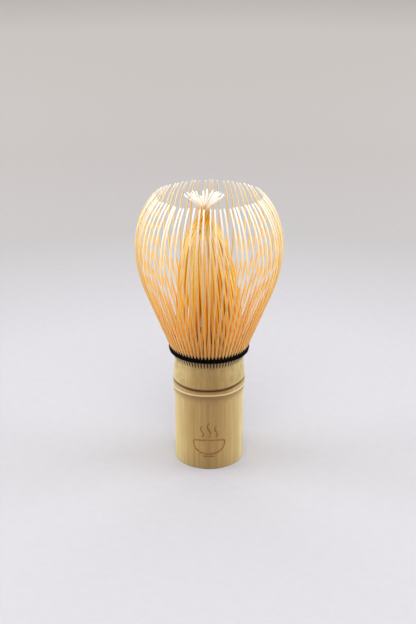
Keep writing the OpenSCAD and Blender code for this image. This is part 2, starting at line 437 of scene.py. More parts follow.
@dataclass(frozen=True)
class SplitBamboo:
    """Split and shaved bamboo: honey flesh that pales to cream where it is shaved thin."""

    ring: TineRing
    glow_mm: float = 1.0
    sheen: float = 0.3
    tones: tuple[float, float] = (0.81, 0.96)
    fibre_mm: float = 0.16
    fibre_long: float = 60.0

    def face_stops(self) -> list[tuple[float, str]]:
        """The outer face's colours, from the slits at 0 to the rim at 1."""
        if self.ring is TineRing.OUTER:
            return [(0.0, "CDAE72"), (0.06, "D2AA62"), (0.12, "D9AC60"), (0.3, "E0B46C"), (0.5, "E0C088"),
                    (0.64, "E2C99E"), (0.8, "E8D5BA"), (0.92, "F5EAE0"), (1.0, "FCFAF9")]
        # For the inner ring, the dark stops below 0.08 are painted shade inside the binding, and the deeper
        # orange at 0.86 is painted shade at the gathered neck
        return [(0.0, "5E3C1A"), (0.05, "7A5026"), (0.08, "E89C44"), (0.14, "F6A63E"), (0.35, "F8AA3A"),
                (0.55, "FFBE5C"), (0.74, "FFD486"), (0.86, "FFAA20"), (0.905, "FFD27C"), (0.945, "FFFCF6"),
                (1.0, "FFFEFD")]

    def flesh_stops(self) -> list[tuple[float, str]]:
        """The sides' and inner face's colours, from the slits to the rim."""
        if self.ring is TineRing.OUTER:
            return [(0.0, "A87C40"), (0.12, "DE9E42"), (0.4, "E8B458"), (0.62, "EAC276"), (0.8, "EDCE8C"),
                    (0.92, "F1DBAC"), (1.0, "F8EEDA")]
        # The inner ring's dark stops below 0.08 are painted shade inside the binding, and the deeper orange
        # at 0.86 is painted shade at the neck
        return [(0.0, "543412"), (0.05, "6A421A"), (0.08, "E28A1C"), (0.14, "F09418"), (0.4, "FA9C10"),
                (0.65, "FFAE30"), (0.8, "FFBA42"), (0.86, "FF9604"), (0.91, "FFBC38"), (0.95, "FFF2D8"),
                (1.0, "FFFDF6")]

    def make(self) -> bpy.types.Material:
        """Builds the material.

        Returns:
            Bamboo whose colour follows its height, its face and its own tone.
        """
        material, shader = shader_of(f"split_bamboo_{self.ring.value}", 0.55, Specular_IOR_Level=self.sheen,
                                     Subsurface_Weight=0.8, Subsurface_Scale=self.glow_mm * MM)
        shader.inputs["Subsurface Radius"].default_value = (1.0, 0.92, 0.8)
        tree = material.node_tree
        height = node(tree, "ShaderNodeSeparateXYZ", {0: place_on(tree)}).outputs["Z"]
        level = spread(tree, height, COLLAR_Z * MM, RIM_Z * MM)
        face = ramp(tree, level, self.face_stops())
        flesh = ramp(tree, level, self.flesh_stops())
        side = lay(tree, layer_of(tree, "skin"), flesh, face)
        # Fibres run the whole length of a tine, a sixth of a millimetre apart
        strip = node(tree, "ShaderNodeUVMap", uv_map="split").outputs[0]
        fine = 1 / self.fibre_mm
        fibre = grain(tree, strip, (fine, fine / self.fibre_long, 1.0), Detail=2.0)
        toned = spread(tree, layer_of(tree, "tone"), 0.0, 1.0, *self.tones)
        value = maths(tree, "MULTIPLY", toned, spread(tree, fibre, 0.3, 0.7, 0.93, 1.05))
        tinted = node(tree, "ShaderNodeHueSaturation", {"Color": side, "Value": value})
        tree.links.new(tinted.outputs[0], shader.inputs["Base Color"])
        ridges(tree, shader, fibre, 0.2, 0.02)
        return material


@dataclass(frozen=True)
class CottonThread:
    """Twisted cotton, dyed black: matt, with loose fibres that soften its edge."""

    yarn_mm: float = 0.12

    def make(self) -> bpy.types.Material:
        """Builds the material.

        Returns:
            A near-black thread with a faint blue sheen.
        """
        material, shader = shader_of("twisted_cotton_black", 0.95, Specular_IOR_Level=0.05,
                                     Sheen_Weight=0.02)
        tree = material.node_tree
        yarn = speckle(tree, place_on(tree), 1 / (self.yarn_mm * MM), Detail=2.0)
        dye = ramp(tree, yarn, [(0.3, "000001"), (0.55, "030306"), (0.75, "090A12")])
        tree.links.new(dye, shader.inputs["Base Color"])
        ridges(tree, shader, yarn, 0.5, 0.03)
        return material


@dataclass(frozen=True)
class Scorch:
    """Bamboo skin browned by a hot wire: matt, uneven and darker where it rested."""

    heat_cells: float = 900.0

    def make(self) -> bpy.types.Material:
        """Builds the material.

        Returns:
            A toasted brown.
        """
        material, shader = shader_of("scorched_skin", 0.65)
        tree = material.node_tree
        heat = speckle(tree, place_on(tree), self.heat_cells, Detail=2.0)
        brown = ramp(tree, heat, [(0.3, "7C4E1A"), (0.6, "9A6828"), (0.8, "B08040")])
        tree.links.new(brown, shader.inputs["Base Color"])
        return material


@dataclass(frozen=True)
class PaleBoard:
    """Matt painted board under and behind the whisk: pale lilac, greyer further off, with painted light and
    shade that change with distance.
    """

    far_mm: float = 1800.0
    tooth_cells: float = 260.0

    def make(self) -> bpy.types.Material:
        """Builds the material.

        Returns:
            A board whose shade follows the distance from the origin.
        """
        material, shader = shader_of("matt_board", 0.9, Specular_IOR_Level=0.1)
        tree = material.node_tree
        place = place_on(tree)
        away = node(tree, "ShaderNodeVectorMath", {0: place}, operation="LENGTH").outputs["Value"]
        share = maths(tree, "DIVIDE", away, self.far_mm * MM)
        # Painted light and shade: the board is darkest some 300 mm out and lighter far off, standing in for
        # how the backdrop is lit
        shade = ramp(tree, share, [(0.08, "B4B4BA"), (0.17, "A7A5A7"), (0.3, "ACA8A8"), (0.75, "CECAC9")])
        # The paint has a faint tooth, a percent and a half either way
        tooth = spread(tree, speckle(tree, place, self.tooth_cells, Detail=3.0), 0.3, 0.7, 0.985, 1.015)
        toothed = node(tree, "ShaderNodeHueSaturation", {"Color": shade, "Value": tooth})
        tree.links.new(toothed.outputs[0], shader.inputs["Base Color"])
        return material


# ---------------------------------------------------------------------------
# Making pieces


def to_object(name: str, bm: bmesh.types.BMesh, materials: Iterable[bpy.types.Material]) -> bpy.types.Object:
    """Turns a mesh in millimetres into an object in metres.

    Args:
        name: The object's name.
        bm: The mesh, which is freed.
        materials: Its finishes, in the order of their slots.

    Returns:
        The object, linked to the scene.
    """
    bmesh.ops.scale(bm, vec=(MM, MM, MM), verts=bm.verts)
    mesh = bpy.data.meshes.new(name)
    bm.to_mesh(mesh)
    bm.free()
    for material in materials:
        mesh.materials.append(material)
    made = bpy.data.objects.new(name, mesh)
    bpy.context.scene.collection.objects.link(made)
    return made


def spin_round(bm: bmesh.types.BMesh, steps: int, join: float) -> None:
    """Spins all that a mesh holds once round the axis.

    Args:
        bm: The mesh, which holds an outline.
        steps: How many faces go round.
        join: How near vertices are that become one.
    """
    bmesh.ops.spin(bm, geom=bm.verts[:] + bm.edges[:], cent=(0, 0, 0), axis=UP, angle=math.tau, steps=steps,
                   use_merge=True)
    bmesh.ops.remove_doubles(bm, verts=bm.verts, dist=join)
    bmesh.ops.recalc_face_normals(bm, faces=bm.faces)


@dataclass
class Piece:
    """A finished mesh and what it stands for."""

    name: str
    slot: str
    materials: list[bpy.types.Material]
    replaces: Iterable[str] = ()
    soft_edge: float = 35.0

    def finish(self, bm: bmesh.types.BMesh) -> bpy.types.Object:
        """Args:
            bm: The mesh in millimetres, which is freed.

        Returns:
            The object.
        """
        made = to_object(self.name, bm, self.materials)
        made.data.shade_smooth()
        made.data.set_sharp_from_angle(angle=math.radians(self.soft_edge))
        if self.replaces:
            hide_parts(*self.replaces)
        return made


class Spot(NamedTuple):
    """A place on a tine's path in its own radial plane; heading is from +Z outwards."""

    r: float
    z: float
    heading: float


@dataclass(frozen=True)
class Bend:
    """A stretch of a path: an arc of a radius and a turn in degrees, or a line of a length."""

    size: float
    turn: float = 0.0

    def length(self) -> float:
        """The stretch's own length."""
        return self.size * abs(math.radians(self.turn)) if self.turn else self.size

    def walk(self, start: Spot, distance: float) -> Spot:
        """Walks along the stretch.

        Args:
            start: Where the stretch begins.
            distance: How far to go along it.

        Returns:
            The spot reached.
        """
        if not self.turn:
            return Spot(start.r + distance * math.sin(start.heading),
                        start.z + distance * math.cos(start.heading), start.heading)
        way = math.copysign(1.0, self.turn)
        heading = start.heading + way * distance / self.size
        return Spot(start.r + way * self.size * (math.cos(start.heading) - math.cos(heading)),
                    start.z + way * self.size * (math.sin(heading) - math.sin(start.heading)), heading)


@dataclass(frozen=True)
class Path:
    """A tine's path: bends that follow each other without a kink."""

    start: Spot
    bends: tuple[Bend, ...]

    def length(self) -> float:
        """The path's whole length."""
        return sum(bend.length() for bend in self.bends)

    def at(self, distance: float) -> Spot:
        """The spot at a distance along the path."""
        spot = self.start
        for bend in self.bends[:-1]:
            if distance <= bend.length():
                return bend.walk(spot, distance)
            distance -= bend.length()
            spot = bend.walk(spot, bend.length())
        return self.bends[-1].walk(spot, distance)


@dataclass(frozen=True)
class Blade:
    """One split tine: a flat strip carried along a line in space."""

    line: Callable[[float], Vector]
    length: float
    width: Callable[[float], float]
    depth: Callable[[float], float]
    rings: int
    gather: float
    tone: float
    nudge: float = 0.004
    fibre_shift: float = 7.0

    def frame_at(self, t: float) -> tuple[Vector, Vector, Vector]:
        """The strip's place and directions.

        Args:
            t: From 0 at the root to 1 at the tip.

        Returns:
            The place on its outer face, the way across and the way out.
        """
        here = self.line(t)
        along = (self.line(min(1.0, t + self.nudge)) - self.line(max(0.0, t - self.nudge))).normalized()
        out = Vector((here.x, here.y, 0.0)).normalized()
        out = (out - along * along.dot(out)).normalized()
        return here, out.cross(along), out

    def add_to(self, bm: bmesh.types.BMesh) -> None:
        """Adds the strip to a mesh that has the layers of tine_mesh.

        Args:
            bm: The mesh.
        """
        old_verts, old_faces = len(bm.verts), len(bm.faces)
        corners = bmesh.ops.create_cube(bm, size=1.0)["verts"]
        rails = [e for e in dict.fromkeys(e for v in corners for e in v.link_edges)
                 if abs(e.verts[0].co.z - e.verts[1].co.z) > 0.5]
        bmesh.ops.subdivide_edges(bm, edges=rails, cuts=self.rings - 1, use_grid_fill=True)
        bm.verts.ensure_lookup_table()
        bm.faces.ensure_lookup_table()
        # Where each vertex lies on a straight strip of length 1, for the layers
        unit = {}
        for vert in bm.verts[old_verts:]:
            t = (vert.co.z + 0.5) ** self.gather
            unit[vert] = (vert.co.x, vert.co.y, t)
            here, across, out = self.frame_at(t)
            sunk = (vert.co.y - 0.5) * self.depth(t)
            vert.co = here + across * (vert.co.x * self.width(t)) + out * sunk
        strip = bm.loops.layers.uv["split"]
        skin = bm.faces.layers.float["skin"]
        tone = bm.faces.layers.float["tone"]
        for face in bm.faces[old_faces:]:
            face[tone] = self.tone
            face[skin] = float(all(unit[v][1] > 0.4 for v in face.verts))
            for loop in face.loops:
                x, y, t = unit[loop.vert]
                loop[strip].uv = ((x + y) * self.width(t) + self.fibre_shift * self.tone, t * self.length)


def tine_mesh() -> bmesh.types.BMesh:
    """A new mesh with the layers that a tine's finish reads."""
    bm = bmesh.new()
    bm.loops.layers.uv.new("split")
    bm.faces.layers.float.new("skin")
    bm.faces.layers.float.new("tone")
    return bm


# ---------------------------------------------------------------------------
# The culm


@dataclass
class Culm:
    """The handle: grip, node, collar and the outer roots that leave it.

    Sizes are in millimetres and leans in degrees. The root steps are shares of
    the roots' height, and the root widths are shares of the pitch at the grip.
    """

    node_z: float = 32.6
    node_rise: float = 0.78
    swell_h: float = 5.0
    swell_share: float = 0.72
    curve_steps: int = 8
    scar_z: float = 35.15
    scar_depth: float = 0.5
    scar_sag: float = 0.7
    shoulder_rise: float = 0.38
    collar_in: float = 0.06
    septum_z: float = 31.3
    septum_t: float = 2.6
    skin_t: float = 0.6
    node_tilt: float = 1.5
    tilt_below: tuple[float, float] = (9.0, 2.0)
    tilt_gone_by: tuple[float, float] = (37.0, 42.0)
    sag_gone_by: tuple[float, float] = (36.5, 41.0)
    waves: tuple[tuple[float, int, float], ...] = ((0.1, 3, 40.0), (0.05, 7, 0.0))
    grown_mm: float = 0.05
    grown_cells: float = 1.7
    grown_long: float = 20.0
    ring_in: float = 0.55
    root_top_z: float = 47.8
    root_t: float = 0.52
    root_lean: float = 21.5
    root_curve_r: float = 3.2
    root_reach: float = 9.0
    root_steps: tuple[float, ...] = (0.14, 0.32, 0.54, 0.77, 1.0)
    root_widths: tuple[float, ...] = (0.74, 0.58, 0.52, 0.49, 0.47)

    def outside(self) -> list[tuple[float, float]]:
        """The outside from the foot to the collar, as (radius, height) points."""
        swell_z = self.node_z - self.swell_h
        lip = GRIP_R + self.node_rise
        groove = lip - 0.34 - self.scar_depth
        shoulder = GRIP_R + self.shoulder_rise + 0.04
        shoulder_z = self.scar_z + 0.55
        shares = [i / self.curve_steps for i in range(1, self.curve_steps + 1)]
        # The foot's worn edge, and the straight grip
        points = [(GRIP_R - 0.5, 0.0), (GRIP_R - 0.14, 0.13), (GRIP_R, 0.5), (GRIP_R, 9.0), (GRIP_R, 18.0),
                  (GRIP_R, swell_z)]
        points += [(GRIP_R + self.swell_share * self.node_rise * smooth(0, 1, u),
                    swell_z + (self.swell_h - 0.5) * u) for u in shares]
        # The node's lip, the bevel over it, and the groove where the sheath came off
        points += [(lip - 0.06, self.node_z - 0.22), (lip, self.node_z), (lip - 0.03, self.node_z + 0.3),
                   (lip - 0.13, self.node_z + 1.2), (lip - 0.24, self.scar_z - 0.45),
                   (lip - 0.34, self.scar_z - 0.22), (groove, self.scar_z),
                   (shoulder - 0.02, self.scar_z + 0.2), (shoulder, shoulder_z)]
        # The collar, which thins towards the slits
        drop = shoulder - GRIP_R + self.collar_in
        points += [(shoulder - drop * smooth(0, 1, u), mix(shoulder_z, COLLAR_Z - 0.5, u)) for u in shares]
        return points

    def section(self) -> list[tuple[float, float]]:
        """The whole section, from the axis under the septum to the axis over it."""
        ring_r = GRIP_R - self.collar_in
        inner_r = ring_r - self.ring_in
        # The septum is thinnest on the axis, the same above and below
        dome = [(0.0, 0.0), (2.5, 0.1), (6.5, 0.4), (9.0, 0.8), (BORE_R, 1.9)]
        below = [(r, self.septum_z - fall) for r, fall in dome]
        bore = [(BORE_R, 14.0), (BORE_R, 0.35), (BORE_R + 0.3, 0.0), (BORE_R + 1.6, 0.0)]
        # The collar's rim: the outer ring, the slit behind it and the inner ring
        rim = [(ring_r, COLLAR_Z), (inner_r, COLLAR_Z), (inner_r - 0.02, COLLAR_Z - 0.3),
               (inner_r - 0.2, COLLAR_Z - 0.3), (inner_r - 0.22, COLLAR_Z + 0.1),
               (inner_r - 0.75, COLLAR_Z + 0.1), (inner_r - 0.8, COLLAR_Z - 1.2), (BORE_R, COLLAR_Z - 4.0)]
        above = [(r, self.septum_z + self.septum_t + rise) for r, rise in reversed(dome)]
        return below + bore + self.outside() + rim + above

    def lathe(self, bm: bmesh.types.BMesh) -> None:
        """Spins the section into the culm.

        Args:
            bm: An empty mesh.
        """
        points = self.section()
        last = [bm.verts.new((points[0][0], 0.0, points[0][1]))]
        for r, z in points[1:]:
            last = bmesh.ops.extrude_vert_indiv(bm, verts=last)["verts"]
            last[0].co = (r, 0.0, z)
        bmesh.ops.rotate(bm, cent=(0, 0, 0), matrix=Matrix.Rotation(math.radians(-PITCH / 2), 3, "Z"),
                         verts=bm.verts)
        spin_round(bm, TINES, 0.001)

    def root_face_r(self, z: float) -> float:
        """The radius of the roots' outer face at a height, found by halving."""
        path = Path(Spot(GRIP_R - self.collar_in, COLLAR_Z, 0.0),
                    (Bend(self.root_curve_r, self.root_lean), Bend(self.root_reach)))
        low, high = 0.0, self.root_reach
        for _ in range(30):
            middle = (low + high) / 2
            low, high = (middle, high) if path.at(middle).z < z else (low, middle)
        return path.at(low).r

    def raise_roots(self, bm: bmesh.types.BMesh) -> None:
        """Draws each face of the collar's rim out into a root, narrower upwards.

        Args:
            bm: The spun culm.
        """
        rim_r = GRIP_R - self.collar_in - self.ring_in / 2
        tops = [f for f in bm.faces if abs(f.calc_center_median().z - COLLAR_Z) < 1e-3
                and abs(polar(f.calc_center_median())[0] - rim_r) < 0.1]
        pitch_w = math.tau * GRIP_R / TINES
        for share, width in zip(self.root_steps, self.root_widths):
            z = mix(COLLAR_Z, self.root_top_z, share)
            tops = bmesh.ops.extrude_discrete_faces(bm, faces=tops)["faces"]
            for top in tops:
                middle = top.calc_center_median()
                azimuth = round(polar(middle)[1] / PITCH) * PITCH
                out = radial(azimuth)
                across = out.cross(UP)
                face_r = self.root_face_r(z)
                for vert in top.verts:
                    outer = vert.co.dot(out) > middle.dot(out)
                    side = math.copysign(width * pitch_w / 2, vert.co.dot(across))
                    inset = 0.0 if outer else self.root_t
                    vert.co = out * (face_r - inset) + across * side + UP * z

    def weather(self, bm: bmesh.types.BMesh) -> None:
        """Tilts the node, and makes the skin uneven as grown bamboo is.

        Args:
            bm: The culm, with a level layer on its vertices.
        """
        level = bm.verts.layers.float["level"]
        slope = math.tan(math.radians(self.node_tilt))
        tilt_from, tilt_full = (self.node_z - below for below in self.tilt_below)
        for vert in bm.verts:
            vert[level] = vert.co.z
            r, azimuth = polar(vert.co)
            if r < GRIP_R - 1.0:
                continue
            near = smooth(tilt_from, tilt_full, vert.co.z) * (1 - smooth(*self.tilt_gone_by, vert.co.z))
            wave = sum(high * math.sin(math.radians(count * azimuth + start))
                       for high, count, start in self.waves)
            # The scar hangs lower at the front than at the sides
            front = max(0.0, -math.sin(math.radians(azimuth))) ** 2
            over_lip = smooth(self.node_z + 0.4, self.scar_z - 0.3, vert[level])
            scar = over_lip * (1 - smooth(*self.sag_gone_by, vert[level]))
            vert.co.z += near * (slope * vert.co.x + wave) - self.scar_sag * front * scar
            # The foot's edge and the collar's rim stay true
            if 0.6 < vert[level] < COLLAR_Z - 0.4:
                spot = radial(azimuth) + UP * (vert[level] / self.grown_long)
                vert.co += radial(azimuth) * (self.grown_mm * noise.noise(spot * self.grown_cells))

    def build(self, skin: bpy.types.Material, flesh: bpy.types.Material) -> bpy.types.Object:
        """Builds the handle.

        Args:
            skin: The finish of the outside.
            flesh: The finish of the foot, the hollows and the slits.

        Returns:
            The handle's object.
        """
        bm = bmesh.new()
        bm.verts.layers.float.new("level")
        self.lathe(bm)
        self.raise_roots(bm)
        self.weather(bm)
        bm.normal_update()
        # Skin is what looks outwards near the grip's radius, and the foot is cut flesh
        for face in bm.faces:
            middle = face.calc_center_median()
            r, azimuth = polar(middle)
            faces_out = face.normal.dot(radial(azimuth)) > 0.35
            outside = faces_out and r > GRIP_R - self.skin_t and middle.z > 0.2
            face.material_index = 0 if outside else 1
        piece = Piece("culm_handle", "bamboo_skin", [skin, flesh], ["handle"])
        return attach(piece.finish(bm), HANDLE_BODY)


# ---------------------------------------------------------------------------
# The tines


@dataclass
class OuterCage:
    """The outer tines: long blades that swell to the belly and lean in to the rim.

    Each tine strays from its true place: sideways in degrees, inwards or a
    little outwards in millimetres, and by a share of its width.
    """

    finish: bpy.types.Material
    foot_r: float = 15.55
    root_z: float = 48.9
    start_z: float = 47.5
    belly_curve_r: float = 49.0
    crown_curve_r: float = 29.0
    crown_h: float = 19.8
    root_w: float = 0.68
    tip_w: float = 0.52
    root_t: float = 0.5
    tip_t: float = 0.3
    stray_deg: float = 1.55
    bow_deg: float = 0.5
    stray_mm: tuple[float, float] = (-0.45, 0.18)
    short_mm: float = 0.7
    thick: tuple[float, float] = (0.93, 1.07)
    rings: int = 18
    gather: float = 0.92
    flex_below_mm: float = 0.6
    flex_mm: float = 24.0
    seed: int = 11

    def path(self) -> Path:
        """The outer face's path, with the lean that meets the belly smoothly."""
        belly_z = RIM_Z - self.crown_h
        reach = BULB_R - self.foot_r
        climb = belly_z - self.root_z
        twice = 2 * self.belly_curve_r - reach
        lean = 2 * math.atan((climb - math.sqrt(climb * climb - twice * reach)) / twice)
        back = self.root_z - self.start_z
        start = Spot(self.foot_r - back * math.tan(lean), self.start_z, lean)
        straight = (belly_z - self.belly_curve_r * math.sin(lean) - self.start_z) / math.cos(lean)
        crown = math.asin(self.crown_h / self.crown_curve_r)
        return Path(start, (Bend(straight), Bend(self.belly_curve_r, -math.degrees(lean)),
                            Bend(self.crown_curve_r, -math.degrees(crown))))

    def blade(self, index: int, path: Path, rng: random.Random) -> Blade:
        """One tine, a little off its true place.

        Args:
            index: Which tine, counterclockwise from +X.
            path: The true path.
            rng: The source of its unevenness.

        Returns:
            The tine's blade.
        """
        swing = rng.uniform(-1, 1) * self.stray_deg
        bow = rng.uniform(-1, 1) * self.bow_deg
        lean_out = rng.uniform(*self.stray_mm)
        length = path.length() - rng.uniform(0.0, self.short_mm)
        thick = rng.uniform(*self.thick)

        def line(t: float) -> Vector:
            spot = path.at(t * length)
            free = smooth(0.08, 1.0, t)
            azimuth = index * PITCH + swing * free + bow * math.sin(math.pi * t) * free
            return radial(azimuth) * (spot.r + lean_out * free * free) + UP * spot.z

        def width(t: float) -> float:
            return thick * mix(self.root_w, self.tip_w, t ** 1.3)

        def depth(t: float) -> float:
            return mix(self.root_t, self.tip_t, t)

        return Blade(line, length, width, depth, self.rings, self.gather, rng.random())

    def build(self) -> list[bpy.types.Object]:
        """Builds one piece for each set of tines that bends together.

        Returns:
            The pieces.
        """
        rng = random.Random(self.seed)
        path = self.path()
        sets = [body for body in BODIES if body.startswith("outer_set_")]
        per_set = TINES // len(sets)
        made = []
        for number, body in enumerate(sets):
            bm = tine_mesh()
            for k in range(per_set):
                self.blade(per_set * number + k - per_set // 2, path, rng).add_to(bm)
            piece = Piece(f"{body}_blades", "outer_bamboo", [self.finish], BODIES[body])
            blades = piece.finish(bm)
            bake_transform(blades, HANDLE_BODY, body, start=(0, 0, (FLEX_Z - self.flex_below_mm) * MM),
                     end=(0, 0, (FLEX_Z + self.flex_mm) * MM))
            made.append(blades)
        return made


@dataclass
class InnerBundle:
    """The inner tines: gathered to a twisted neck, with their tips flared to a tuft.

    Pairs that end in _from, _till or _over are depths below the rim between
    which something sets in or ends. Layer 0 is the outermost of four.
    """

    finish: bpy.types.Material
    root_r: float = 13.05
    start_z: float = 43.85
    rise: float = 11.0
    waist_in: float = 4.1
    waist_down: float = 21.5
    gather_r: float = 25.0
    gather_lean: float = 41.0
    neck_curve_r: float = 5.0
    neck_long: float = 0.5
    layer_step: float = 0.72
    layers: tuple[int, ...] = (0, 1, 2, 0, 1, 3)
    flare_curve_r: float = 5.0
    flare_lean: tuple[float, ...] = (52.0, 44.0, 35.0, 26.0)
    flare_mm: tuple[float, ...] = (5.2, 4.8, 4.4, 3.9)
    neck_off: Vector = Vector((-1.8, 0.0, 0.0))
    neck_off_over: tuple[float, float] = (55.0, 10.0)
    neck_from: tuple[float, float] = (16.0, 10.0)
    neck_till: tuple[float, float] = (8.0, 4.0)
    tips_from: tuple[float, float] = (9.0, 1.0)
    tips_broad_from: tuple[float, float] = (7.0, 4.0)
    twist_over: tuple[float, float] = (15.0, 4.0)
    twist_deg: float = 70.0
    short_mm: float = 1.0
    stray_deg: float = 2.8
    drift_mm: float = 0.42
    puff_mm: tuple[float, float] = (-0.7, 0.3)
    tip_swing_deg: float = 8.0
    slip_deg: float = 14.0
    ride_up_mm: tuple[float, float] = (-0.35, 0.4)
    broad: tuple[float, float] = (0.9, 1.08)
    fan_deg: float = 40.0
    tuft_deg: float = 6.0
    tufts: int = 9
    root_w: tuple[float, float] = (0.95, 0.74)
    shaved_w: tuple[float, float] = (0.76, 0.36)
    tip_w: float = 0.5
    thickness: tuple[float, float] = (0.5, 0.22)
    rings: int = 28
    gather: float = 0.72
    flex_below_mm: float = 3.0
    flex_mm: float = 18.0
    seed: int = 23

    def path(self, layer: int) -> Path:
        """The path of a layer, 0 outside to 3 in the middle."""
        bend_z = self.start_z + self.rise
        up = RIM_Z - self.waist_down - bend_z
        curve_r = (up * up + self.waist_in ** 2) / (2 * self.waist_in)
        waist = math.degrees(math.asin(up / curve_r))
        return Path(Spot(self.root_r, self.start_z, 0.0), (
            Bend(self.rise), Bend(curve_r, -waist), Bend(self.gather_r, waist - self.gather_lean),
            Bend(self.neck_long + self.layer_step * layer), Bend(self.neck_curve_r, self.gather_lean),
            Bend(self.flare_curve_r, self.flare_lean[layer]), Bend(self.flare_mm[layer])))

    def blade(self, index: int, rng: random.Random) -> Blade:
        """One tine of the bundle.

        Args:
            index: Which tine, counterclockwise from +X.
            rng: The source of its unevenness.

        Returns:
            The tine's blade.
        """
        layer = self.layers[index % len(self.layers)]
        path = self.path(layer)
        length = path.length() - rng.uniform(0.0, self.short_mm)
        base = (index + 0.5) * PITCH
        stray = rng.uniform(-1, 1) * self.stray_deg
        wave = rng.uniform(0, math.tau)
        drift = rng.uniform(-1, 1) * self.drift_mm
        puff = rng.uniform(*self.puff_mm)
        tip_swing = rng.uniform(-1, 1) * self.tip_swing_deg
        slip = rng.uniform(-1, 1) * self.slip_deg
        ride_up = rng.uniform(*self.ride_up_mm)
        broad = rng.uniform(*self.broad)

        def line(t: float) -> Vector:
            spot = path.at(t * length)
            middle = smooth(0.1, 0.4, t) * (1 - smooth(0.62, 0.86, t))
            gathered = near_rim(self.neck_from, spot.z) * (1 - near_rim(self.neck_till, spot.z))
            tip = near_rim(self.tips_from, spot.z)
            azimuth = base + self.twist_deg * near_rim(self.twist_over, spot.z)
            azimuth += stray * smooth(FLEX_Z, FLEX_Z + 14, spot.z)
            # The tips part into a left and a right fan, and gather in small tufts
            fan = self.fan_deg * math.sin(math.radians(2 * azimuth + 180))
            tuft = self.tuft_deg * math.sin(math.radians(self.tufts * azimuth))
            azimuth += tip * (fan + tip_swing + tuft) + slip * gathered
            side = middle * drift * math.sin(math.tau * t * 1.5 + wave)
            azimuth += math.degrees(side / max(spot.r, 1.0))
            shift = self.neck_off * near_rim(self.neck_off_over, spot.z)
            return radial(azimuth) * (spot.r + puff * middle + ride_up * gathered) + UP * spot.z + shift

        def width(t: float) -> float:
            z = path.at(t * length).z
            if z < FLEX_Z:
                return broad * mix(*self.root_w, smooth(self.start_z, FLEX_Z, z))
            # Shaved thinner from the bundle's waist to its neck, and left broader at the tips
            shaved = mix(*self.shaved_w, smooth(FLEX_Z + 26, RIM_Z - 10, z))
            return broad * mix(shaved, self.tip_w, near_rim(self.tips_broad_from, z))

        def depth(t: float) -> float:
            return mix(*self.thickness, smooth(0.1, 0.85, t))

        return Blade(line, length, width, depth, self.rings, self.gather, rng.random())

    def build(self) -> list[bpy.types.Object]:
        """Builds one piece for each CAD group of the bundle.

        Returns:
            The pieces.
        """
        rng = random.Random(self.seed)
        made = []
        first = 0
        for body in (b for b in BODIES if b.startswith("inner_set_")):
            for group in BODIES[body]:
                bm = tine_mesh()
                for index in range(first, first + len(self.layers)):
                    self.blade(index, rng).add_to(bm)
                first += len(self.layers)
                piece = Piece(f"{group}_blades", "inner_bamboo", [self.finish], [group])
                blades = piece.finish(bm)
                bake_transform(blades, HANDLE_BODY, body, start=(0, 0, (FLEX_Z - self.flex_below_mm) * MM),
                         end=(0, 0, (FLEX_Z + self.flex_mm) * MM))
                made.append(blades)
        return made


# ---------------------------------------------------------------------------
# The thread


